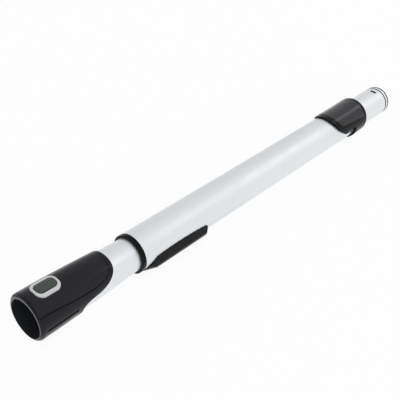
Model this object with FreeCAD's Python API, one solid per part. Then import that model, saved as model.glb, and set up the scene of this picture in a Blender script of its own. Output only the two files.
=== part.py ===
import FreeCAD, Part
import math
import os

os.makedirs("parts", exist_ok=True)

V = FreeCAD.Vector

# Telescopic vacuum wand, lengths in millimetres.
# Names that start with x_ are stations along the wand, counted from the socket mouth.
# Heights and radii are counted from the wand's axis until each piece is placed.

# Tubes
travel = 275.0
tube_od = 38.0
tube_wall = 0.7
slide_od = 35.4
spigot_od = 35.0
spigot_wall = 0.8
neck_od = 32.7
neck_wall = 0.9

# Play between pieces
bore_gap = 0.1
bore_relief = 0.2
tail_gap = 11.4
run_gap = 0.08
seal_gap = 0.05
clear = 0.3
groove = 0.6

# Socket at the near end
socket_length = 82.0
socket_low_over = 0.4
socket_depth = 60.0
stop_length = 5.0
lip_round = 3.4
mouth_lead = 0.3
mouth_recess = 0.4
mouth_recess_depth = 7.5
socket_rise = 0.75
socket_wall_mouth = 3.15
socket_wall_mid = 2.2
socket_wall_tip = 0.1
mid_share = 0.49
tongue_low = -8.0
tongue_mid = 1.4
tongue_high = 12.6
tongue_mid_share = 0.75
tongue_high_share = 0.98
socket_round = 0.6
side_slot_length = 32.0
side_slot_width = 2.0
side_slot_height = -0.8
side_slot_start = 5.5

# Top cover, button and latch
cover_wall = 0.8
cover_inset = 0.85
cover_rise = 1.3
cover_start = 1.4
cover_end_back = 4.4
cover_low_front = 12.9
cover_low_rear = 9.2
cover_turn_share = 0.7
cover_shoulder_share = 0.9
cover_shoulder = 13.2
rib_offset = 3.7
bezel_length = 23.6
bezel_width = 17.4
bezel_corner = 6.4
bezel_proud = 1.6
bezel_round = 0.9
pad_length = 18.7
pad_width = 10.3
pad_corner = 4.0
pad_proud = 2.1
pad_round = 0.5
skirt_over = 1.1
skirt_wall = 0.7
press = 1.8
lever_width = 7.0
lever_arm = 12.0
tooth_arm = 8.0
tooth_length = 3.2
tooth_depth = 0.8
tooth_lead = 0.8
tooth_lead_length = 2.1
arm_wall = 0.8
arm_lift = 0.25
tail_wall = 0.7
tail_reach = 2.0
tail_flat = 3.5
boss_radius = 1.1
pivot_lift = 1.25
pivot_radius = 0.6
pivot_hold = 2.0
pin_gap = 0.02
rib_width = 0.6
rib_length = 5.0
rib_gap = 0.08
cover_relief = 0.35
leaf_wall = 0.25
leaf_width = 5.0
leaf_foot = 3.0

# Collar and parking saddle
ring_station = 111.4
ring_width = 4.2
ring_proud = 0.2
ring_round = 0.6
ring_sleeve = 27.0
saddle_length = 82.4
saddle_gap = 0.8
saddle_tip = 0.5
saddle_taper = 16.0
saddle_swell = 5.0
saddle_side = 0.6
saddle_drop = 2.5
saddle_corner = 12.5
saddle_nose = 12.9
saddle_nose_low = -11.0
saddle_bend = 0.4
saddle_crest = 1.6
saddle_end_high = -0.8
saddle_bend_round = 7.0
saddle_end_round = 4.0
saddle_lift = 3.2
saddle_lift_length = 8.0

# Lock at the far end
spigot_show = 61.0
house_inset = 0.7
house_length = 31.0
house_sleeve = 12.0
wiper_width = 4.0
wiper_depth = 1.0
wiper_back = 3.0
slider_length = 67.8
slider_wall = 2.5
slider_round = 1.2
slider_taper = 0.15
slider_rise = 1.5
slider_rise_mid = 0.4
slider_mid_share = 0.64
slider_flat_share = 0.3
lip_station = 3.0
lip_high = 16.2
lip_shoulder = 7.0
lip_mid = 11.6
lip_drop = 15.4
lip_low = 4.6
lip_side = 27.2
lip_side_high = 0.5
lip_bottom = 46.0
lip_bottom_high = -8.0
thumb_start = 7.0
thumb_front = 11.4
thumb_front_high = 16.9
thumb_turn = 18.6
thumb_turn_high = 12.4
thumb_low = 9.8
thumb_back = 5.0
thumb_sink = 0.45
thumb_proud = 0.2
shoe_start = 3.0
shoe_length = 10.0
shoe_width = 10.0
shoe_grip_gap = 0.05
ramp_base = 0.9
ramp_lift = 0.5
slider_pull = 8.0
spring_length = 15.6
spring_radius = 0.6
spring_wire = 0.14
spring_pitch = 1.3
spring_spread = 2.6
spring_lift = 0.72

# Inner tube
shoulder_length = 1.2
slot_from_end = 15.5
slot_length = 4.4
slot_width = 7.6
end_ring_width = 2.0
liner_length = 24.0
liner_wall = 0.9
seal_width = 2.0
seal_depth = 0.4
seal_from_end = 6.5
tail_cap = 3.0
tail_ring_length = 12.0
tail_seal_length = 3.0

# Radii
r_tube = tube_od / 2
r_tube_in = r_tube - tube_wall
r_spigot = spigot_od / 2
r_spigot_in = r_spigot - spigot_wall
r_slide = slide_od / 2
r_slide_in = r_slide - spigot_wall
r_bore = r_spigot + bore_gap
r_flare = r_bore + neck_wall
r_neck = neck_od / 2
r_neck_in = r_neck - neck_wall
r_guide = r_slide + run_gap
r_slider = r_tube + slider_wall
r_cavity = r_tube + clear

# Stations. Closed, the inner tube's tail stands just behind the neck.
# Drawn out by the travel, it comes up to the end plug.
x_tube0 = ring_station + ring_width
x_neck_end = x_tube0 + ring_sleeve
x_tail0 = x_neck_end + tail_gap
x_tail = x_tail0 + tail_cap
x_tail_seal = x_tail + tail_ring_length
x_plug0 = x_tail_seal + tail_seal_length + travel + clear
x_tube1 = x_plug0 + house_sleeve
x_house1 = x_tube1 + house_length
x_slider1 = x_house1 + house_inset
x_slider0 = x_slider1 - slider_length
x_shoulder = x_slider1 + clear
x_spigot0 = x_shoulder + shoulder_length
x_end = x_slider1 + spigot_show
x_tooth = socket_depth - slot_from_end
x_pivot = x_tooth - tooth_arm
x_rib = x_pivot - lever_arm
button_station = x_rib - rib_offset
flare_length = socket_depth + stop_length
x_shoe0 = x_tube1 + shoe_start
x_shoe1 = x_shoe0 + shoe_length

# The wand lies on its saddle: the axis is this high above the floor.
rest_depth = r_tube + saddle_drop
far = 2 * tube_od
over = 1.0


def revolve(points):
    """Turn a closed outline of (station, radius) points about the axis."""
    corners = [V(x, 0, r) for x, r in points]
    face = Part.Face(Part.makePolygon(corners + corners[:1]))
    return face.revolve(V(0, 0, 0), V(1, 0, 0), 360)


def rod(x0, x1, radius):
    """A round bar on the axis."""
    return Part.makeCylinder(radius, x1 - x0, V(x0, 0, 0), V(1, 0, 0))


def tube(x0, x1, r_in, r_out):
    """A round tube on the axis."""
    return rod(x0, x1, r_out).cut(rod(x0 - over, x1 + over, r_in))


def block(x0, x1, width, z0, z1):
    """A block centred on the wand's middle plane."""
    return Part.makeBox(x1 - x0, width, z1 - z0, V(x0, -width / 2, z0))


def side_prism(edge, corners, ends=None):
    """Extrude a side-view outline across the wand: a smooth edge closed by straight corners.

    ends gives the smooth edge's direction at its two ends, where it has to run on into the corners.
    """
    points = [V(x, -far / 2, z) for x, z in edge]
    curve = Part.BSplineCurve()
    if ends:
        curve.interpolate(Points=points, InitialTangent=ends[0], FinalTangent=ends[1])
    else:
        curve.interpolate(points)
    rest = Part.makePolygon([points[-1]] + [V(x, -far / 2, z) for x, z in corners] + [points[0]])
    wire = Part.Wire([curve.toShape()] + rest.Edges)
    return Part.Face(wire).extrude(V(0, far, 0))


def plate(points, width):
    """Extrude a straight-sided side-view outline across the wand."""
    corners = [V(x, -width / 2, z) for x, z in points]
    return Part.Face(Part.makePolygon(corners + corners[:1])).extrude(V(0, width, 0))


def rounded_block(x_mid, length, width, corner):
    """A tall block with rounded plan corners, standing on the axis."""
    body = Part.makeBox(length, width, far, V(x_mid - length / 2, -width / 2, 0))
    upright = [e for e in body.Edges if math.isclose(e.Length, far)]
    return body.makeFillet(corner, upright)


def soften(body, radius, inside):
    """Round the edges whose end points all answer to inside, leaving out the seams of round faces."""
    chosen = [e for e in body.Edges if all(inside(v.Point) for v in e.Vertexes)]
    chosen = [e for e in chosen if not any(e.isSeam(f) for f in body.ancestorsOfType(e, Part.Face))]
    return body.makeFillet(radius, chosen)


def save(name, body):
    """Place a piece in the shared frame and write it."""
    placed = body.copy()
    placed.translate(V(-x_end / 2, 0, rest_depth))
    placed.exportStep("parts/" + name + ".step")


# Neck: butts on the socket's bore, holds the stop for a plugged-in spigot, and is drawn in towards the collar
r_stop = r_spigot - neck_wall / 2
r_clear_bore = r_bore + bore_relief
window_x0 = x_tooth - tooth_length / 2 - clear
socket_low_length = window_x0 + socket_low_over
window_x1 = x_tooth + tooth_length / 2 + clear + groove
neck_outer = revolve([(window_x0, 0), (window_x0, r_flare), (flare_length, r_flare),
                      (ring_station, r_neck), (x_neck_end, r_neck), (x_neck_end, 0)])
neck_inner = revolve([(window_x0 - over, 0), (window_x0 - over, r_clear_bore), (socket_depth, r_clear_bore),
                      (socket_depth, r_stop), (flare_length, r_stop), (ring_station, r_neck_in),
                      (x_neck_end + over, r_neck_in), (x_neck_end + over, 0)])
window = block(window_x0 - over, window_x1, lever_width + 2 * clear, 0, far)
neck = neck_outer.cut(neck_inner).cut(window)
save("neck_tube", neck)

# Outer tube and its collar
save("outer_tube", tube(x_tube0, x_tube1, r_tube_in, r_tube))
flange = tube(ring_station, x_tube0, r_neck, r_tube + ring_proud)
flange = soften(flange, ring_round, lambda p: p.x < x_tube0 - over and math.hypot(p.y, p.z) > r_tube)
save("front_ring", flange.fuse(tube(x_tube0, x_neck_end, r_neck, r_tube_in)).removeSplitter())

# Socket shell
x_mid = socket_length * mid_share
r_mouth = r_flare + socket_wall_mouth
r_mid = r_flare + socket_wall_mid
r_tip = r_flare + socket_wall_tip
form_end = socket_length + over


def socket_form(grow, rise):
    """The socket's tapering round form, grown outwards by grow and raised by rise."""

    def below(x, radius):
        return V(x, 0, rise - radius - grow)

    back = lip_round * (1 - math.sqrt(2) / 2)
    nose = Part.Arc(below(0, r_mouth - lip_round), below(back, r_mouth - back), below(lip_round, r_mouth))
    flank = Part.BSplineCurve()
    flank.interpolate([below(lip_round, r_mouth), below(x_mid, r_mid), below(form_end, r_tip)])
    rest = Part.makePolygon([below(form_end, r_tip), V(form_end, 0, rise), V(0, 0, rise),
                             below(0, r_mouth - lip_round)])
    wire = Part.Wire([nose.toShape(), flank.toShape()] + rest.Edges)
    return Part.Face(wire).revolve(V(0, 0, rise), V(1, 0, 0), 360)


def cover_form(grow):
    """The crowned form of the top cover, grown outwards by grow."""
    return socket_form(grow - cover_inset, socket_rise + cover_rise)


def cover_side(gap):
    """The cover's side-view outline, grown by gap."""
    x_end_cover = socket_length - cover_end_back + gap
    return side_prism([(cover_start - gap, cover_low_front - gap),
                       (socket_length * cover_turn_share / 2, (cover_low_front + cover_low_rear) / 2 - gap),
                       (socket_length * cover_turn_share, cover_low_rear - gap),
                       (socket_length * cover_shoulder_share, cover_shoulder - gap),
                       (x_end_cover, r_tip)],
                      [(x_end_cover, far), (cover_start - gap, far)])


tongue = side_prism([(socket_low_length, tongue_low), (socket_length * tongue_mid_share, tongue_mid),
                     (socket_length * tongue_high_share, tongue_high), (socket_length, r_tip)],
                    [(socket_length, far), (-over, far), (-over, -far), (socket_low_length, -far)],
                    [V(0, 0, 1), V(0, 0, 1)])
opening = rounded_block(button_station, pad_length + 2 * skirt_over + 2 * clear,
                        pad_width + 2 * skirt_over + 2 * clear, pad_corner + skirt_over)
bay_x0 = button_station - pad_length / 2 - skirt_over - 2 * clear
bay_x1 = button_station + pad_length / 2 + skirt_over + 2 * clear
bay = block(bay_x0, bay_x1, pad_width + 2 * skirt_over + 4 * clear, 0, far)
bay = bay.fuse(block(bay_x1 - over, window_x1 + clear, lever_width + 2 * clear, 0, far))
z_pivot = r_flare + pivot_lift
pin_length = lever_width + 2 * clear + 2 * pivot_hold
pin_from = V(x_pivot, -pin_length / 2, z_pivot)
slot_x1 = side_slot_start + side_slot_length
side_slot = block(side_slot_start, slot_x1, far, side_slot_height - side_slot_width / 2,
                  side_slot_height + side_slot_width / 2)
shell = socket_form(0, socket_rise).common(tongue)
shell = soften(shell, socket_round, lambda p: p.x > socket_low_length - over)
shell = shell.cut(cover_side(groove).cut(cover_form(-cover_wall)))
r_recess = r_bore + mouth_recess
bore = revolve([(-over, 0), (-over, r_recess + mouth_lead + over), (mouth_lead, r_recess),
                (mouth_recess_depth, r_recess), (mouth_recess_depth, r_bore),
                (window_x0 + over, r_bore), (window_x0 + over, 0)])
bore_wall = rod(-over, window_x0, r_flare)
shell = shell.cut(neck_outer).cut(bore)
shell = shell.cut(bay.cut(bore_wall)).cut(side_slot.cut(bore_wall))
shell = shell.cut(Part.makeCylinder(pivot_radius + pin_gap, pin_length, pin_from, V(0, 1, 0)))
save("socket_body", shell)
save("latch_pivot_pin", Part.makeCylinder(pivot_radius, pin_length, pin_from, V(0, 1, 0)))

# Top cover with the button opening, relieved over the latch arm
cover = cover_form(0).cut(cover_form(-cover_wall)).common(cover_side(0)).cut(opening)
relief = cover_form(-cover_relief).common(block(x_pivot + boss_radius, window_x1 + clear,
                                                lever_width + 2 * clear, 0, far))
cover = cover.cut(relief)
save("socket_top_cover", cover)

# Button frame and button
bezel = rounded_block(button_station, bezel_length, bezel_width, bezel_corner)
bezel = bezel.cut(rounded_block(button_station, pad_length + 2 * clear, pad_width + 2 * clear,
                                pad_corner + clear))
bezel = bezel.common(cover_form(bezel_proud)).cut(cover_form(0))
r_proud = r_mouth - cover_inset + bezel_proud / 4


def above_cover(p):
    """True for a point on the raised upper edges of the button and its frame."""
    return math.hypot(p.y, p.z - socket_rise - cover_rise) > r_proud


bezel = soften(bezel, bezel_round, above_cover)
save("button_bezel", bezel)

z_tail = r_flare + clear + press * (lever_arm + tail_reach) / lever_arm
z_rib = z_tail + tail_wall + rib_gap
pad = rounded_block(button_station, pad_length, pad_width, pad_corner).common(cover_form(pad_proud))
pad = soften(pad, pad_round, above_cover)
skirt = rounded_block(button_station, pad_length + 2 * skirt_over, pad_width + 2 * skirt_over,
                      pad_corner + skirt_over).common(cover_form(-seal_gap))
button = pad.fuse(skirt).cut(cover_form(-skirt_wall))
hollow = block(x_rib - tail_reach - clear, bay_x1, lever_width + 2 * clear, 0, z_rib + press / 2)
rib = block(x_rib - rib_width / 2, x_rib + rib_width / 2, rib_length, z_rib, z_rib + press)
button = button.cut(hollow).fuse(rib)
save("button_pad", button.removeSplitter())

# Latch rocker: button end high, tooth through the window into the bore
z_arm = r_flare + arm_lift
z_tooth = r_bore - tooth_depth
tooth_x0 = x_tooth - tooth_length / 2
tooth_x1 = x_tooth + tooth_length / 2
tail_x0 = x_rib - tail_reach
lever = plate([(tail_x0, z_tail), (tail_x0, z_tail + tail_wall), (tail_x0 + tail_flat, z_tail + tail_wall),
               (x_pivot, z_pivot + boss_radius / 2), (tooth_x1, z_arm + arm_wall), (tooth_x1, z_tooth),
               (tooth_x0 + tooth_lead_length, z_tooth), (tooth_x0, z_tooth + tooth_lead),
               (tooth_x0, z_arm), (x_pivot, z_arm), (tail_x0 + tail_flat, z_tail)], lever_width)
boss = Part.makeCylinder(boss_radius, lever_width, V(x_pivot, -lever_width / 2, z_pivot), V(0, 1, 0))
eye = Part.makeCylinder(pivot_radius + seal_gap, lever_width + over,
                        V(x_pivot, -lever_width / 2 - over / 2, z_pivot), V(0, 1, 0))
lever = lever.fuse(boss).cut(eye).removeSplitter()
save("latch_lever", lever)

leaf_x0 = bay_x0
leaf_x1 = x_rib - tail_reach / 2
leaf = plate([(leaf_x0, r_flare), (leaf_x0, r_flare + leaf_wall),
              (leaf_x0 + leaf_foot, r_flare + leaf_wall), (leaf_x1, z_tail),
              (leaf_x1, z_tail - leaf_wall), (leaf_x0 + leaf_foot, r_flare)], leaf_width)
save("latch_spring", leaf)

# Parking saddle: a rounded trough that hugs the underside of the tube
x_saddle0 = x_tube0 + saddle_gap
x_saddle1 = x_tube0 + saddle_length
trough = block(x_saddle0, x_saddle1, 2 * (r_tube + saddle_side), -rest_depth, r_tube)
low_edges = [e for e in trough.Edges if e.CenterOfMass.z < run_gap - rest_depth
             and abs(e.CenterOfMass.y) > r_tube]
trough = trough.makeFillet(saddle_corner, low_edges)
x_bend = x_tube0 + saddle_nose
saddle_edge = side_prism([(x_bend, saddle_bend), (x_tube0 + saddle_length / 2, saddle_crest),
                          (x_saddle1, saddle_end_high)],
                         [(x_saddle1, saddle_lift - rest_depth),
                          (x_saddle1 - saddle_lift_length, -rest_depth),
                          (x_saddle0, -rest_depth), (x_saddle0, saddle_nose_low)])
saddle_edge = soften(saddle_edge, saddle_bend_round, lambda p: abs(p.x - x_bend) < over)
saddle_edge = soften(saddle_edge, saddle_end_round,
                     lambda p: p.x > x_saddle1 - over and p.z > saddle_nose_low)
x_full = x_saddle0 + saddle_taper
taper = revolve([(x_saddle0, 0), (x_saddle0, r_tube + saddle_tip), (x_full, r_tube + saddle_swell),
                 (x_full, far / 2), (x_saddle1, far / 2), (x_saddle1, 0)])
saddle = trough.common(saddle_edge).common(taper)
save("parking_saddle", saddle.cut(rod(x_saddle0 - over, x_saddle1 + over, r_tube)))

# End plug of the outer tube, with a window for the clamping shoe
housing = tube(x_tube1, x_house1, r_guide, r_tube)
housing = housing.fuse(tube(x_plug0, x_tube1, r_guide, r_tube_in)).removeSplitter()
wiper_x1 = x_house1 - wiper_back
wiper_x0 = wiper_x1 - wiper_width
housing = housing.cut(rod(wiper_x0, wiper_x1, r_guide + wiper_depth))
housing = housing.cut(block(x_shoe0 - clear, x_shoe1 + clear, shoe_width + 2 * clear, 0, far))
save("lock_housing", housing)
save("wiper_ring", tube(wiper_x0, wiper_x1, r_slide + seal_gap, r_guide + wiper_depth))

# Clamping shoe: hollow underside on the inner tube, sloped back under the slider's ramp
slope = ramp_lift / slider_pull


def ramp_height(x):
    """Height of the slider's ramp over station x, slider at rest."""
    return r_tube + ramp_base + slope * (x - x_shoe0)


shoe = plate([(x_shoe0, 0), (x_shoe0, ramp_height(x_shoe0) - clear / 2),
              (x_shoe1, ramp_height(x_shoe1) - clear / 2), (x_shoe1, 0)], shoe_width)
shoe = shoe.cut(rod(x_shoe0 - over, x_shoe1 + over, r_slide + shoe_grip_gap))
save("lock_shoe", shoe)

# Slider: a sleeve with a long lip on top, raised towards its far end
def slider_form(grow):
    """The slider's round form, grown outwards by grow."""
    stations = [(x_slider0 - over, 0, 0),
                (x_slider0 + slider_flat_share * slider_length, 0, 0),
                (x_slider0 + slider_mid_share * slider_length, slider_rise_mid, slider_taper / 2),
                (x_slider1, slider_rise, slider_taper)]
    rings = []
    for x, lift, slim in stations:
        circle = Part.makeCircle(r_slider - slim + grow, V(x, 0, lift), V(1, 0, 0))
        rings.append(Part.Wire([circle]))
    return Part.makeLoft(rings, True, False)


def thumb_side(gap):
    """The thumb surface's side-view outline, grown by gap."""
    start = V(x_slider0 + thumb_start - gap, 0, r_slider + over)
    front = V(x_slider0 + thumb_front - gap, 0, thumb_front_high - gap)
    turn = V(x_slider0 + thumb_turn - gap, 0, thumb_turn_high - gap)
    back = V(x_slider1 - thumb_back + gap, 0, thumb_low - gap)
    return side_prism([(p.x, p.z) for p in (start, front, turn)],
                      [(back.x, back.z), (back.x, far), (start.x, far)],
                      [(front - start).normalize(), (back - turn).normalize()])


lip = side_prism([(x_slider0, r_slider + over), (x_slider0 + lip_station, lip_high),
                  (x_slider0 + lip_shoulder, lip_mid), (x_slider0 + lip_drop, lip_low),
                  (x_slider0 + lip_side, lip_side_high), (x_slider0 + lip_bottom, lip_bottom_high)],
                 [(x_slider0 + lip_bottom, -far), (x_slider1 + over, -far), (x_slider1 + over, far),
                  (x_slider0, far)], [V(0, 0, -1), V(0, 0, -1)])
spring_x0 = x_shoe1
spring_x1 = x_shoe1 + spring_length
pocket = plate([(x_shoe0 - clear, 0), (x_shoe0 - clear, ramp_height(x_shoe0 - clear)),
                (x_shoe1 + slider_pull, ramp_height(x_shoe1 + slider_pull)),
                (spring_x1, ramp_height(x_shoe1 + slider_pull)), (spring_x1, 0)], shoe_width + 2 * clear)
sleeve = soften(slider_form(0).common(lip), slider_round, lambda p: p.x > x_slider0 - over)
sleeve = sleeve.cut(rod(x_slider0 - over, x_slider1 + over, r_cavity)).cut(pocket)
sleeve = sleeve.cut(thumb_side(groove).cut(slider_form(-thumb_sink)))
save("slider_sleeve", sleeve)
thumb = slider_form(thumb_proud).cut(slider_form(-thumb_sink)).common(thumb_side(0))
save("slider_thumb_pad", thumb)

# Two small return springs between the shoe and the end of the slider's pocket
coil_run = spring_length - 2 * spring_wire
helix = Part.makeHelix(spring_pitch, coil_run, spring_radius)
start = Part.Wire([Part.makeCircle(spring_wire, V(spring_radius, 0, 0), V(0, 1, 0))])
coil = Part.Wire(helix).makePipeShell([start], True, True)
springs = []
for side in (-1, 1):
    one = coil.copy()
    one.rotate(V(0, 0, 0), V(0, 1, 0), 90)
    one.translate(V(spring_x0 + spring_wire, side * spring_spread, r_tube + spring_lift))
    springs.append(one)
save("slider_springs", Part.Compound(springs))

# Inner tube with its spigot, the latch slot, the dark rings and the hidden tail
x_ring_end = x_end - end_ring_width
x_seal0 = x_end - seal_from_end - seal_width / 2
inner = revolve([(x_tail, r_slide_in), (x_tail, r_slide), (x_shoulder, r_slide), (x_spigot0, r_spigot),
                 (x_ring_end, r_spigot), (x_ring_end, r_spigot_in), (x_spigot0, r_spigot_in),
                 (x_shoulder, r_slide_in)])
slot_mid = x_end - slot_from_end
inner = inner.cut(block(slot_mid - slot_length / 2, slot_mid + slot_length / 2, slot_width, 0, far))
inner = inner.cut(tube(x_seal0, x_seal0 + seal_width, r_spigot - seal_depth, r_spigot + over))
save("inner_tube", inner)
save("spigot_seal_ring", tube(x_seal0, x_seal0 + seal_width, r_spigot - seal_depth, r_spigot))
r_liner = r_spigot_in - liner_wall
end_ring = tube(x_ring_end, x_end, r_liner, r_spigot)
liner = tube(x_end - liner_length, x_ring_end, r_liner, r_spigot_in)
save("spigot_end_ring", end_ring.fuse(liner).removeSplitter())
r_tail = r_tube_in - run_gap
guide = tube(x_tail0, x_tail, r_slide_in, r_tail).fuse(tube(x_tail, x_tail_seal, r_slide, r_tail))
save("tail_guide_ring", guide.removeSplitter())
save("tail_seal", tube(x_tail_seal, x_tail_seal + tail_seal_length, r_slide, r_tube_in - seal_gap))
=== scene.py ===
"""Looks of a telescopic vacuum wand: finishes, formed springs, lamps and camera around its solids."""

from __future__ import annotations

import logging
import math
from dataclasses import dataclass, field
from enum import Enum
from typing import Dict, List, Optional, Sequence, Tuple

import bpy
from mathutils import Matrix, Vector

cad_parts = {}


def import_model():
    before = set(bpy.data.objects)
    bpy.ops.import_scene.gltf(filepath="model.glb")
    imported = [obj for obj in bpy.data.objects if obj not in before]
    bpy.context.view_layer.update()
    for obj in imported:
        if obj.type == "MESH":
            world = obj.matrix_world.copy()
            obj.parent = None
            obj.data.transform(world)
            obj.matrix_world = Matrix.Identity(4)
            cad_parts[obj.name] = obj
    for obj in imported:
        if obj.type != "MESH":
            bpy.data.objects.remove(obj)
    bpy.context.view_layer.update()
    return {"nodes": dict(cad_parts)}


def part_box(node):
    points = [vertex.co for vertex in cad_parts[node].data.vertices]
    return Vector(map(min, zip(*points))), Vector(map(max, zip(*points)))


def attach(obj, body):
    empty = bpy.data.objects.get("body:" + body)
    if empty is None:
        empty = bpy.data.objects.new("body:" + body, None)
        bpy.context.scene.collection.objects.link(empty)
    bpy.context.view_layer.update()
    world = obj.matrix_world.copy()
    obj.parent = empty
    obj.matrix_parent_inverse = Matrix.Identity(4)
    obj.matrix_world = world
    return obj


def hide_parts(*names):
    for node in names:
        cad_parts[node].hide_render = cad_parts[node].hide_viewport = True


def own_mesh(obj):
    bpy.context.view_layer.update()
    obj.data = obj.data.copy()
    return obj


LOG = logging.getLogger("wand")
AXIS_HEIGHT = 0.0215
NOISE_LOW, NOISE_HIGH = 0.3, 0.7
GRAIN_DETAIL, GRAIN_WEIGHT = 3.0, 0.55
CLOUDS_PER_METRE, CLOUD_DETAIL, CLOUD_WEIGHT = 34.0, 2.0, 0.5
DRAWN_STRETCH = 160.0

Colour = Tuple[float, float, float]
Nodes = Dict[str, bpy.types.Object]


class Grain(Enum):
    """How a surface's fine relief lies."""

    DRAWN = "drawn"
    PEBBLED = "pebbled"
    SMOOTH = "smooth"


class Lamp(Enum):
    """The lamps of the studio."""

    KEY = "key_lamp"
    FILL = "fill_lamp"


class FinishGraph:
    """A small helper that lays out one material's nodes."""

    def __init__(self, name: str) -> None:
        """Start an empty material of that name."""
        self.material = bpy.data.materials.new(name)
        self.material.use_nodes = True
        self.tree = self.material.node_tree
        self.tree.nodes.clear()
        self.shader = self.add("ShaderNodeBsdfPrincipled")
        output = self.add("ShaderNodeOutputMaterial")
        self.link(self.shader.outputs["BSDF"], output.inputs["Surface"])
        self.place = self.add("ShaderNodeTexCoord").outputs["Object"]

    def add(self, kind: str) -> bpy.types.Node:
        """Add a node of that kind."""
        return self.tree.nodes.new(kind)

    def link(self, source: bpy.types.NodeSocket, target: bpy.types.NodeSocket) -> None:
        """Join two sockets."""
        self.tree.links.new(source, target)

    def noise(self, scale: Sequence[float], detail: float, rough: float) -> bpy.types.NodeSocket:
        """Lay a noise over the object's own coordinates.

        Args:
            scale: Repeats per metre along x, y and z.
            detail: Octaves of the noise.
            rough: Weight of the finer octaves.

        Returns:
            The noise value's socket.
        """
        mapping = self.add("ShaderNodeMapping")
        mapping.inputs["Scale"].default_value = tuple(scale)
        self.link(self.place, mapping.inputs["Vector"])
        texture = self.add("ShaderNodeTexNoise")
        texture.inputs["Scale"].default_value = 1.0
        texture.inputs["Detail"].default_value = detail
        texture.inputs["Roughness"].default_value = rough
        self.link(mapping.outputs["Vector"], texture.inputs["Vector"])
        return texture.outputs["Fac"]

    def ramp(self, value: bpy.types.NodeSocket, low: Colour, high: Colour) -> bpy.types.NodeSocket:
        """Turn a value into a colour between two tones.

        Args:
            value: The value's socket.
            low: Tone at the value's low end.
            high: Tone at the value's high end.

        Returns:
            The colour's socket.
        """
        node = self.add("ShaderNodeValToRGB")
        first, last = node.color_ramp.elements
        first.position, last.position = NOISE_LOW, NOISE_HIGH
        first.color = (*low, 1.0)
        last.color = (*high, 1.0)
        self.link(value, node.inputs["Fac"])
        return node.outputs["Color"]

    def spread(self, value: bpy.types.NodeSocket, low: float, high: float) -> bpy.types.NodeSocket:
        """Bring the middle of a noise value into a range.

        Args:
            value: The value's socket.
            low: Result at the low end.
            high: Result at the high end.

        Returns:
            The result's socket.
        """
        node = self.add("ShaderNodeMapRange")
        node.inputs["From Min"].default_value = NOISE_LOW
        node.inputs["From Max"].default_value = NOISE_HIGH
        node.inputs["To Min"].default_value = low
        node.inputs["To Max"].default_value = high
        self.link(value, node.inputs["Value"])
        return node.outputs["Result"]

    def relief(self, height: bpy.types.NodeSocket, depth: float, strength: float) -> None:
        """Give the shader a fine relief.

        Args:
            height: The height's socket.
            depth: Depth of the relief in metres.
            strength: Share of the relief that shows.
        """
        bump = self.add("ShaderNodeBump")
        bump.inputs["Distance"].default_value = depth
        bump.inputs["Strength"].default_value = strength
        self.link(height, bump.inputs["Height"])
        self.link(bump.outputs["Normal"], self.shader.inputs["Normal"])

    def along(self) -> bpy.types.NodeSocket:
        """Return the station along the wand, in metres from its middle."""
        split = self.add("ShaderNodeSeparateXYZ")
        self.link(self.place, split.inputs["Vector"])
        return split.outputs["X"]

    def off_axis(self) -> bpy.types.NodeSocket:
        """Return the distance from the wand's axis, in metres."""
        centred = self.add("ShaderNodeVectorMath")
        centred.operation = "MULTIPLY_ADD"
        self.link(self.place, centred.inputs[0])
        centred.inputs[1].default_value = (0.0, 1.0, 1.0)
        centred.inputs[2].default_value = (0.0, 0.0, -AXIS_HEIGHT)
        length = self.add("ShaderNodeVectorMath")
        length.operation = "LENGTH"
        self.link(centred.outputs["Vector"], length.inputs[0])
        return length.outputs["Value"]

    def fade(self, value: bpy.types.NodeSocket, full: float, none: float) -> bpy.types.NodeSocket:
        """Turn a value into a share that falls from one to nothing.

        Args:
            value: The value's socket.
            full: The value at which the share is one.
            none: The value at which it is nothing.

        Returns:
            The share's socket.
        """
        node = self.add("ShaderNodeMapRange")
        node.interpolation_type = "SMOOTHSTEP"
        node.inputs["From Min"].default_value = full
        node.inputs["From Max"].default_value = none
        node.inputs["To Min"].default_value = 1.0
        node.inputs["To Max"].default_value = 0.0
        self.link(value, node.inputs["Value"])
        return node.outputs["Result"]

    def product(self, shares: Sequence[bpy.types.NodeSocket]) -> bpy.types.NodeSocket:
        """Multiply shares with each other."""
        result = shares[0]
        for share in shares[1:]:
            node = self.add("ShaderNodeMath")
            node.operation = "MULTIPLY"
            self.link(result, node.inputs[0])
            self.link(share, node.inputs[1])
            result = node.outputs[0]
        return result

    def lay_over(self, under: bpy.types.NodeSocket, tone: Colour,
                 share: bpy.types.NodeSocket) -> bpy.types.NodeSocket:
        """Lay a tone over a colour.

        Args:
            under: The colour's socket.
            tone: The tone that lies over it.
            share: How much of the tone shows.

        Returns:
            The mixed colour's socket.
        """
        node = self.add("ShaderNodeMix")
        node.data_type = "RGBA"
        colours = [socket for socket in node.inputs if socket.type == "RGBA"]
        self.link(under, colours[0])
        colours[1].default_value = (*tone, 1.0)
        self.link(share, node.inputs["Factor"])
        return next(socket for socket in node.outputs if socket.type == "RGBA")

    def turn_to(self, under: bpy.types.NodeSocket, value: float,
                share: bpy.types.NodeSocket) -> bpy.types.NodeSocket:
        """Lead a number over to another one by a share."""
        node = self.add("ShaderNodeMix")
        node.data_type = "FLOAT"
        numbers = [socket for socket in node.inputs if socket.type == "VALUE" and socket.name in "AB"]
        self.link(under, numbers[0])
        numbers[1].default_value = value
        self.link(share, node.inputs["Factor"])
        return next(socket for socket in node.outputs if socket.type == "VALUE")


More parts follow.
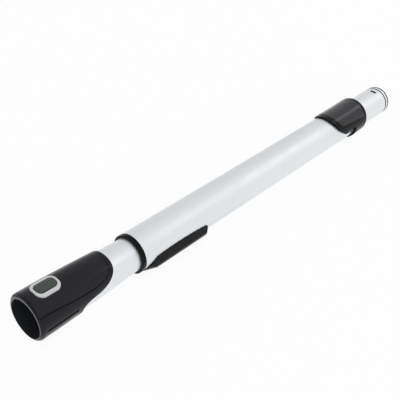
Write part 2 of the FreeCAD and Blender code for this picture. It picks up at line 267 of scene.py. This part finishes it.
@dataclass(frozen=True)
class PaintedShadeRing:
    """A ring-shaped stretch round the wand's axis, painted with its own tone as painted shade and made
    duller.
    """

    inner: float
    outer: float
    start: float
    end: float
    tone: Colour
    dullness: float
    blur: float = 0.00012

    def share(self, graph: FinishGraph) -> bpy.types.NodeSocket:
        """Return how far a point lies in the painted shade.

        Args:
            graph: The material's nodes.

        Returns:
            The share's socket.
        """
        x = graph.along()
        radius = graph.off_axis()
        return graph.product([
            graph.fade(radius, self.outer - self.blur, self.outer + self.blur),
            graph.fade(radius, self.inner + self.blur, self.inner - self.blur),
            graph.fade(x, self.end - self.blur, self.end + self.blur),
            graph.fade(x, self.start + self.blur, self.start - self.blur),
        ])


@dataclass(frozen=True)
class PaintedLipHighlight:
    """A painted highlight: a lighter band painted on the lip at the wand's near end."""

    full: float
    none: float
    tone: Colour

    def share(self, graph: FinishGraph) -> bpy.types.NodeSocket:
        """Return how much of the painted highlight a point gets."""
        return graph.fade(graph.along(), self.full, self.none)


def tinted(colour: Colour, factor: float) -> Colour:
    """Return a colour made lighter or darker by a factor."""
    return tuple(min(1.0, part * factor) for part in colour)


@dataclass(frozen=True)
class Finish:
    """One surface finish: tone, gloss and fine relief, with any painted shade and painted highlight."""

    name: str
    colour: Colour
    roughness: float
    metallic: float = 0.0
    specular: float = 0.5
    grain: Grain = Grain.PEBBLED
    grain_per_metre: float = 2600.0
    grain_depth: float = 0.00002
    grain_show: float = 0.3
    tone_share: float = 0.12
    gloss_share: float = 0.15
    coat: float = 0.0
    coat_roughness: float = 0.2
    painted_shades: Tuple[PaintedShadeRing, ...] = ()
    lip: Optional[PaintedLipHighlight] = None

    def scale(self) -> Tuple[float, float, float]:
        """Return the grain's repeats per metre; drawn metal has long lines down its length."""
        fine = self.grain_per_metre
        if self.grain is Grain.DRAWN:
            return (fine / DRAWN_STRETCH, fine, fine)
        return (fine, fine, fine)

    def make(self) -> bpy.types.Material:
        """Build the material.

        Returns:
            The finished material.
        """
        graph = FinishGraph(self.name)
        shader = graph.shader
        shader.inputs["Metallic"].default_value = self.metallic
        shader.inputs["Specular IOR Level"].default_value = self.specular
        shader.inputs["Coat Weight"].default_value = self.coat
        shader.inputs["Coat Roughness"].default_value = self.coat_roughness
        grain = graph.noise(self.scale(), GRAIN_DETAIL, GRAIN_WEIGHT)
        cloud = graph.noise((CLOUDS_PER_METRE,) * 3, CLOUD_DETAIL, CLOUD_WEIGHT)
        low = tinted(self.colour, 1.0 - self.tone_share)
        high = tinted(self.colour, 1.0 + self.tone_share)
        tone_source = cloud if self.grain is Grain.SMOOTH else grain
        colour = graph.ramp(tone_source, low, high)
        least = self.roughness * (1.0 - self.gloss_share)
        most = self.roughness * (1.0 + self.gloss_share)
        dullness = graph.spread(cloud, least, most)
        # Paint the highlight on the mouth's lip.
        if self.lip:
            colour = graph.lay_over(colour, self.lip.tone, self.lip.share(graph))
        # Paint shade into the socket's slot and bore: each stretch gets its own tone and dullness.
        for painted_shade in self.painted_shades:
            share = painted_shade.share(graph)
            colour = graph.lay_over(colour, painted_shade.tone, share)
            dullness = graph.turn_to(dullness, painted_shade.dullness, share)
        graph.link(colour, shader.inputs["Base Color"])
        graph.link(dullness, shader.inputs["Roughness"])
        graph.relief(grain, self.grain_depth, self.grain_show)
        return self.material_settings(graph.material)

    def material_settings(self, material: bpy.types.Material) -> bpy.types.Material:
        """Give the material its viewport tone and return it."""
        material.diffuse_color = (*self.colour, 1.0)
        return material


# Painted shade: a near-black tone on the side slot's walls.
SIDE_SLOT_PAINTED_SHADE = PaintedShadeRing(inner=0.0183, outer=0.0204, start=-0.2730, end=-0.2300, tone=(0.0035, 0.0035, 0.0040),
                   dullness=0.9)
# Painted shade: a dull bluish tone inside the socket's bore, set to how dark the bore's shade looks.
SOCKET_BORE_PAINTED_SHADE = PaintedShadeRing(inner=-0.001, outer=0.0183, start=-0.2755, end=-0.2300, tone=(0.014, 0.0165, 0.019),
                     dullness=0.6)
# Painted highlight: a lighter band on the mouth's lip.
MOUTH_LIP_PAINTED_HIGHLIGHT = PaintedLipHighlight(full=-0.27597, none=-0.27578, tone=(0.13, 0.13, 0.135))

SILVER_TUBE = Finish("silver_tube_satin", (0.80, 0.825, 0.84), 0.52, metallic=1.0, grain=Grain.DRAWN,
                     grain_per_metre=5200.0, grain_depth=0.000008, grain_show=0.25, tone_share=0.03,
                     gloss_share=0.08)
SILVER_NECK = Finish("silver_neck_satin", (0.80, 0.825, 0.84), 0.44, metallic=1.0, grain=Grain.DRAWN,
                     grain_per_metre=5600.0, grain_depth=0.000008, grain_show=0.25, tone_share=0.03,
                     gloss_share=0.08)
SILVER_SPIGOT = Finish("silver_spigot_satin", (0.81, 0.825, 0.835), 0.46, metallic=1.0, grain=Grain.DRAWN,
                       grain_per_metre=6000.0, grain_depth=0.000008, grain_show=0.25, tone_share=0.03,
                       gloss_share=0.08)
# The socket's black carries painted shade in its slot and bore and a painted highlight on its lip.
SOCKET_BLACK = Finish("socket_moulded_black", (0.0070, 0.0070, 0.0106), 0.15, specular=0.2,
                      grain_per_metre=2800.0, grain_depth=0.000016, grain_show=0.3,
                      painted_shades=(SIDE_SLOT_PAINTED_SHADE, SOCKET_BORE_PAINTED_SHADE), lip=MOUTH_LIP_PAINTED_HIGHLIGHT)
COVER_BLACK = Finish("cover_moulded_black", (0.0108, 0.0102, 0.0152), 0.16, specular=0.2,
                     grain_per_metre=3200.0, grain_depth=0.000014, grain_show=0.28)
SLIDER_BLACK = Finish("slider_moulded_black", (0.0042, 0.0040, 0.0054), 0.16, specular=0.1,
                      grain_per_metre=3000.0, grain_depth=0.000014, grain_show=0.26)
THUMB_BLACK = Finish("thumb_moulded_black", (0.0115, 0.0095, 0.0145), 0.17, specular=0.38,
                     grain_per_metre=3600.0, grain_depth=0.000014, grain_show=0.24)
SADDLE_BLACK = Finish("saddle_moulded_black", (0.0060, 0.0060, 0.0075), 0.09, specular=0.04,
                      grain_per_metre=2600.0, grain_depth=0.000010, grain_show=0.2)
RING_BLACK = Finish("collar_moulded_black", (0.0030, 0.0030, 0.0035), 0.25, specular=0.1,
                    grain_per_metre=3000.0, grain_depth=0.000014, grain_show=0.3)
INNER_BLACK = Finish("inner_moulded_black", (0.0140, 0.0140, 0.0150), 0.5, specular=0.3,
                     grain_per_metre=2200.0, grain_depth=0.00002, grain_show=0.35)
FRAME_GREY = Finish("button_frame_grey", (0.60, 0.61, 0.62), 0.28, specular=0.5, grain=Grain.SMOOTH,
                    grain_per_metre=5200.0, grain_depth=0.000008, grain_show=0.2, tone_share=0.05,
                    coat=0.3, coat_roughness=0.2)
BUTTON_GREY = Finish("button_soft_grey_green", (0.056, 0.068, 0.058), 0.55, specular=0.3,
                     grain_per_metre=4200.0, grain_depth=0.00003, grain_show=0.4, tone_share=0.1)
SEAL_RUBBER = Finish("seal_rubber", (0.005, 0.005, 0.0055), 0.8, specular=0.03, grain_per_metre=3400.0,
                     grain_depth=0.00003, grain_show=0.45)
SPRING_STEEL = Finish("spring_steel", (0.46, 0.45, 0.43), 0.3, metallic=1.0, grain=Grain.DRAWN,
                      grain_per_metre=9000.0, grain_depth=0.000006, grain_show=0.25, tone_share=0.08)


def dress_node(piece: bpy.types.Object, material: bpy.types.Material) -> None:
    """Put one material on every face of a piece.

    Args:
        piece: The piece to dress.
        material: Its material.
    """
    slots = piece.data.materials
    if not slots:
        slots.append(material)
    for index in range(len(slots)):
        slots[index] = material


def new_piece(name: str, mesh: bpy.types.Mesh) -> bpy.types.Object:
    """Put a mesh into the scene as a piece that sits at the origin.

    Args:
        name: The piece's name.
        mesh: The mesh, with its place in its points.

    Returns:
        The new object.
    """
    piece = bpy.data.objects.new(name, mesh)
    bpy.context.scene.collection.objects.link(piece)
    return piece


@dataclass
class Assembly:
    """A group of solids that share a job, each with its finish."""

    nodes: Nodes
    finishes: Dict[str, Finish] = field(default_factory=dict)

    def build(self) -> List[bpy.types.Object]:
        """Make the pieces that the solids lack; a plain group has none."""
        return []

    def dress(self, stock: Dict[str, bpy.types.Material]) -> None:
        """Put each solid's finish on it.

        Args:
            stock: Materials made so far, by finish name; new ones are added.
        """
        for name, finish in self.finishes.items():
            if finish.name not in stock:
                stock[finish.name] = finish.make()
            dress_node(self.nodes[name], stock[finish.name])
            LOG.info("%s dressed as %s", name, finish.name)


@dataclass
class Socket(Assembly):
    """The socket end: shell, top cover and the neck that it holds."""

    finishes: Dict[str, Finish] = field(default_factory=lambda: {
        "socket_body": SOCKET_BLACK,
        "socket_top_cover": COVER_BLACK,
        "neck_tube": SILVER_NECK,
    })


@dataclass
class Latch(Assembly):
    """The button with its frame, rocker, pin and leaf spring."""

    leaf_wall: float = 0.00025
    foot_share: float = 0.3
    steps: int = 14
    keep: float = 0.2
    finishes: Dict[str, Finish] = field(default_factory=lambda: {
        "button_bezel": FRAME_GREY,
        "button_pad": BUTTON_GREY,
        "latch_lever": INNER_BLACK,
        "latch_pivot_pin": SPRING_STEEL,
        "latch_spring": SPRING_STEEL,
    })

    def leaf_line(self, low: Vector, high: Vector) -> List[Tuple[float, float]]:
        """Work out the bent line of the leaf's underside, in side view.

        Args:
            low: Lowest corner of the leaf's solid.
            high: Highest corner of the leaf's solid.

        Returns:
            Points (x, z) from the foot to the tip.
        """
        bend = low.x + self.foot_share * (high.x - low.x)
        rise = high.z - low.z - self.leaf_wall
        line = [(low.x, low.z)]
        for step in range(self.steps + 1):
            share = step / self.steps
            swing = share * share * (3.0 - 2.0 * share)
            line.append((bend + share * (high.x - bend), low.z + rise * swing))
        return line

    def build(self) -> List[bpy.types.Object]:
        """Make the formed leaf spring that stands for its straight-sided solid.

        Returns:
            The leaf spring.
        """
        low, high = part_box("latch_spring")
        line = self.leaf_line(low, high)
        section = ((low.y, 0.0), (high.y, 0.0), (high.y, self.leaf_wall), (low.y, self.leaf_wall))
        sides = len(section)
        points = [(x, y, z + lift) for x, z in line for y, lift in section]
        faces: List[Tuple[int, ...]] = [(0, 3, 2, 1)]
        for ring in range(len(line) - 1):
            first, second = sides * ring, sides * (ring + 1)
            for corner in range(sides):
                after = (corner + 1) % sides
                faces.append((first + corner, first + after, second + after, second + corner))
        last = sides * (len(line) - 1)
        faces.append((last, last + 1, last + 2, last + 3))
        mesh = bpy.data.meshes.new("leaf_spring")
        mesh.from_pydata(points, [], faces)
        mesh.validate()
        leaf = new_piece("leaf_spring", mesh)
        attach(leaf, "wand")
        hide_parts("latch_spring")
        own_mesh(leaf)
        dress_node(leaf, SPRING_STEEL.make())
        return [leaf]


@dataclass
class OuterTube(Assembly):
    """The large tube with its collar and parking saddle."""

    finishes: Dict[str, Finish] = field(default_factory=lambda: {
        "outer_tube": SILVER_TUBE,
        "front_ring": RING_BLACK,
        "parking_saddle": SADDLE_BLACK,
    })


@dataclass
class LengthLock(Assembly):
    """The lock: end plug, wiper, shoe, slider, thumb surface and return springs."""

    springs: int = 2
    turns: float = 11.0
    steps_per_turn: int = 20
    wire_sides: int = 8
    wire_radius: float = 0.00014
    rest_length: float = 0.0156
    pull: float = 0.008
    finishes: Dict[str, Finish] = field(default_factory=lambda: {
        "lock_housing": INNER_BLACK,
        "wiper_ring": SEAL_RUBBER,
        "lock_shoe": INNER_BLACK,
        "slider_sleeve": SLIDER_BLACK,
        "slider_thumb_pad": THUMB_BLACK,
        "slider_springs": SPRING_STEEL,
    })

    def spring_tree(self, material: bpy.types.Material) -> bpy.types.NodeTree:
        """Lay out the nodes that wind a row of coil springs.

        Args:
            material: The wire's material.

        Returns:
            The node tree, with named inputs for the springs' sizes.
        """
        tree = bpy.data.node_groups.new("return_springs", "GeometryNodeTree")
        face = tree.interface
        face.new_socket("Geometry", in_out="INPUT", socket_type="NodeSocketGeometry")
        for name in ("Turns", "Coil Radius", "Length", "Wire Radius"):
            face.new_socket(name, in_out="INPUT", socket_type="NodeSocketFloat")
        for name in ("First Spring", "Spacing"):
            face.new_socket(name, in_out="INPUT", socket_type="NodeSocketVector")
        face.new_socket("Geometry", in_out="OUTPUT", socket_type="NodeSocketGeometry")
        add = tree.nodes.new
        link = tree.links.new
        start = add("NodeGroupInput")
        coil = add("GeometryNodeCurveSpiral")
        coil.inputs["Resolution"].default_value = self.steps_per_turn
        link(start.outputs["Turns"], coil.inputs["Rotations"])
        link(start.outputs["Coil Radius"], coil.inputs["Start Radius"])
        link(start.outputs["Coil Radius"], coil.inputs["End Radius"])
        link(start.outputs["Length"], coil.inputs["Height"])
        wire = add("GeometryNodeCurvePrimitiveCircle")
        wire.inputs["Resolution"].default_value = self.wire_sides
        link(start.outputs["Wire Radius"], wire.inputs["Radius"])
        swept = add("GeometryNodeCurveToMesh")
        swept.inputs["Fill Caps"].default_value = True
        link(coil.outputs["Curve"], swept.inputs["Curve"])
        link(wire.outputs["Curve"], swept.inputs["Profile Curve"])
        laid = add("GeometryNodeTransform")
        laid.inputs["Rotation"].default_value = (0.0, math.pi / 2, 0.0)
        link(swept.outputs["Mesh"], laid.inputs["Geometry"])
        row = add("GeometryNodeMeshLine")
        row.inputs["Count"].default_value = self.springs
        link(start.outputs["First Spring"], row.inputs["Start Location"])
        link(start.outputs["Spacing"], row.inputs["Offset"])
        placed = add("GeometryNodeInstanceOnPoints")
        link(row.outputs["Mesh"], placed.inputs["Points"])
        link(laid.outputs["Geometry"], placed.inputs["Instance"])
        real = add("GeometryNodeRealizeInstances")
        link(placed.outputs["Instances"], real.inputs["Geometry"])
        finished = add("GeometryNodeSetMaterial")
        finished.inputs["Material"].default_value = material
        link(real.outputs["Geometry"], finished.inputs["Geometry"])
        end = add("NodeGroupOutput")
        link(finished.outputs["Geometry"], end.inputs["Geometry"])
        return tree

    def build(self) -> List[bpy.types.Object]:
        """Wind the two return springs that stand for their solids.

        Returns:
            The springs, as one piece.
        """
        low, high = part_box("slider_springs")
        outer = (high.z - low.z) / 2
        reach = high.y - outer
        steel = SPRING_STEEL.make()
        tree = self.spring_tree(steel)
        sizes = {
            "Turns": self.turns,
            "Coil Radius": outer - self.wire_radius,
            "Length": high.x - low.x - 2 * self.wire_radius,
            "Wire Radius": self.wire_radius,
            "First Spring": (low.x + self.wire_radius, -reach, (low.z + high.z) / 2),
            "Spacing": (0.0, 2 * reach, 0.0),
        }
        holder = new_piece("return_springs_maker", bpy.data.meshes.new("return_springs_maker"))
        maker = holder.modifiers.new("springs", "NODES")
        maker.node_group = tree
        for item in tree.interface.items_tree:
            if item.in_out == "INPUT" and item.name in sizes:
                maker[item.identifier] = sizes[item.name]
        bpy.context.view_layer.update()
        evaluated = holder.evaluated_get(bpy.context.evaluated_depsgraph_get())
        mesh = bpy.data.meshes.new_from_object(evaluated)
        holder.modifiers.remove(maker)
        bpy.data.objects.remove(holder)
        mesh.shade_smooth()
        springs = new_piece("return_springs", mesh)
        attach(springs, "wand")
        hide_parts("slider_springs")
        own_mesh(springs)
        return [springs]


@dataclass
class InnerTube(Assembly):
    """The sliding tube with its spigot rings and its hidden tail."""

    finishes: Dict[str, Finish] = field(default_factory=lambda: {
        "inner_tube": SILVER_SPIGOT,
        "spigot_seal_ring": SEAL_RUBBER,
        "spigot_end_ring": SEAL_RUBBER,
        "tail_guide_ring": INNER_BLACK,
        "tail_seal": SEAL_RUBBER,
    })


@dataclass
class Studio:
    """Floor, light and camera."""

    eye: Tuple[float, float, float] = (-0.48464, -0.32183, 0.43342)
    gaze: Tuple[float, float, float] = (0.62912, 0.48834, -0.60476)
    roll_deg: float = 6.473
    lens_mm: float = 61.353
    sensor_mm: float = 36.0
    floor_half: float = 6.0
    floor_tone: float = 0.92
    floor_glow: float = 0.94
    key_from: Tuple[float, float, float] = (0.70, -0.34, 0.63)
    key_distance: float = 2.6
    key_width: float = 1.5
    key_height: float = 0.45
    key_radiance: float = 1.3
    key_tone: Colour = (1.0, 0.975, 0.985)
    fill_from: Tuple[float, float, float] = (-0.55, -0.70, 0.45)
    fill_distance: float = 2.6
    fill_width: float = 1.6
    fill_height: float = 1.2
    fill_radiance: float = 0.35
    fill_tone: Colour = (0.95, 0.985, 1.0)
    near_sky: float = 0.95
    far_sky: float = 0.78
    sky_turn: float = 0.7
    nearest: float = 0.01

    def floor(self) -> bpy.types.Object:
        """Lay the pale floor, which keeps a soft shadow.

        Returns:
            The floor.
        """
        half = self.floor_half
        mesh = bpy.data.meshes.new("floor")
        mesh.from_pydata([(-half, -half, 0), (half, -half, 0), (half, half, 0), (-half, half, 0)], [],
                         [(0, 1, 2, 3)])
        floor = new_piece("floor", mesh)
        dress_node(floor, self.floor_finish())
        return floor

    def floor_finish(self) -> bpy.types.Material:
        """Make the floor's finish: white to the eye and in reflections, with part of its shading kept.

        Returns:
            The material.
        """
        material = bpy.data.materials.new("floor_white")
        material.use_nodes = True
        tree = material.node_tree
        tree.nodes.clear()
        add, link = tree.nodes.new, tree.links.new
        matt = add("ShaderNodeBsdfDiffuse")
        matt.inputs["Color"].default_value = (self.floor_tone, self.floor_tone, self.floor_tone, 1.0)
        glow = add("ShaderNodeEmission")
        glow.inputs["Strength"].default_value = 1.0
        path = add("ShaderNodeLightPath")
        seen = path.outputs["Is Camera Ray"]
        for ray in ("Is Glossy Ray", "Is Transmission Ray"):
            either = add("ShaderNodeMath")
            either.operation = "MAXIMUM"
            link(seen, either.inputs[0])
            link(path.outputs[ray], either.inputs[1])
            seen = either.outputs[0]
        share = add("ShaderNodeMath")
        share.operation = "MULTIPLY"
        share.inputs[1].default_value = self.floor_glow
        link(seen, share.inputs[0])
        mix = add("ShaderNodeMixShader")
        link(share.outputs[0], mix.inputs["Fac"])
        link(matt.outputs["BSDF"], mix.inputs[1])
        link(glow.outputs["Emission"], mix.inputs[2])
        output = add("ShaderNodeOutputMaterial")
        link(mix.outputs["Shader"], output.inputs["Surface"])
        return material

    def sky(self) -> None:
        """Light the room from all round, a little darker on the far side."""
        world = bpy.data.worlds.new("studio_room")
        bpy.context.scene.world = world
        world.use_nodes = True
        tree = world.node_tree
        tree.nodes.clear()
        add, link = tree.nodes.new, tree.links.new
        toward = add("ShaderNodeTexCoord")
        split = add("ShaderNodeSeparateXYZ")
        link(toward.outputs["Generated"], split.inputs["Vector"])
        level = add("ShaderNodeMapRange")
        level.inputs["From Min"].default_value = -self.sky_turn
        level.inputs["From Max"].default_value = self.sky_turn
        level.inputs["To Min"].default_value = self.near_sky
        level.inputs["To Max"].default_value = self.far_sky
        link(split.outputs["Y"], level.inputs["Value"])
        room = add("ShaderNodeBackground")
        link(level.outputs["Result"], room.inputs["Strength"])
        room.inputs["Color"].default_value = (1.0, 1.0, 1.0, 1.0)
        output = add("ShaderNodeOutputWorld")
        link(room.outputs["Background"], output.inputs["Surface"])

    def lamp(self, kind: Lamp) -> bpy.types.Object:
        """Hang one soft area lamp, turned to the middle of the wand.

        Args:
            kind: Which lamp.

        Returns:
            The lamp.
        """
        if kind is Lamp.KEY:
            toward, distance = Vector(self.key_from).normalized(), self.key_distance
            width, height, radiance = self.key_width, self.key_height, self.key_radiance
            tone = self.key_tone
        else:
            toward, distance = Vector(self.fill_from).normalized(), self.fill_distance
            width, height, radiance = self.fill_width, self.fill_height, self.fill_radiance
            tone = self.fill_tone
        data = bpy.data.lights.new(kind.value, "AREA")
        data.shape = "RECTANGLE"
        data.size = width
        data.size_y = height
        data.color = tone
        data.energy = radiance * math.pi * width * height
        lamp = bpy.data.objects.new(kind.value, data)
        bpy.context.scene.collection.objects.link(lamp)
        lamp.location = toward * distance
        lamp.rotation_euler = (-toward).to_track_quat("-Z", "Y").to_euler()
        return lamp

    def camera(self) -> bpy.types.Object:
        """Set up the camera at the picture's angle.

        Returns:
            The camera.
        """
        data = bpy.data.cameras.new("picture_camera")
        data.sensor_width = self.sensor_mm
        data.lens = self.lens_mm
        data.clip_start = self.nearest
        camera = bpy.data.objects.new("picture_camera", data)
        bpy.context.scene.collection.objects.link(camera)
        gaze = Vector(self.gaze).normalized()
        level = gaze.cross(Vector((0.0, 0.0, 1.0))).normalized()
        upright = level.cross(gaze)
        roll = math.radians(self.roll_deg)
        right = level * math.cos(roll) + upright * math.sin(roll)
        up = right.cross(gaze)
        turn = Matrix((right, up, -gaze)).transposed()
        camera.matrix_world = Matrix.Translation(Vector(self.eye)) @ turn.to_4x4()
        bpy.context.scene.camera = camera
        return camera

    def build(self) -> None:
        """Put up the whole studio."""
        self.floor()
        self.sky()
        for kind in Lamp:
            self.lamp(kind)
        self.camera()
        bpy.context.scene.view_settings.view_transform = "Standard"


def main() -> None:
    """Load the solids, dress each assembly and put up the studio."""
    logging.basicConfig(level=logging.INFO, format="%(name)s: %(message)s")
    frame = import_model()
    nodes: Nodes = frame["nodes"]
    stock: Dict[str, bpy.types.Material] = {}
    for assembly in (Socket(nodes), Latch(nodes), OuterTube(nodes), LengthLock(nodes), InnerTube(nodes)):
        for piece in assembly.build():
            LOG.info("%s built", piece.name)
        assembly.dress(stock)
    Studio().build()


if __name__ == "__main__":
    main()
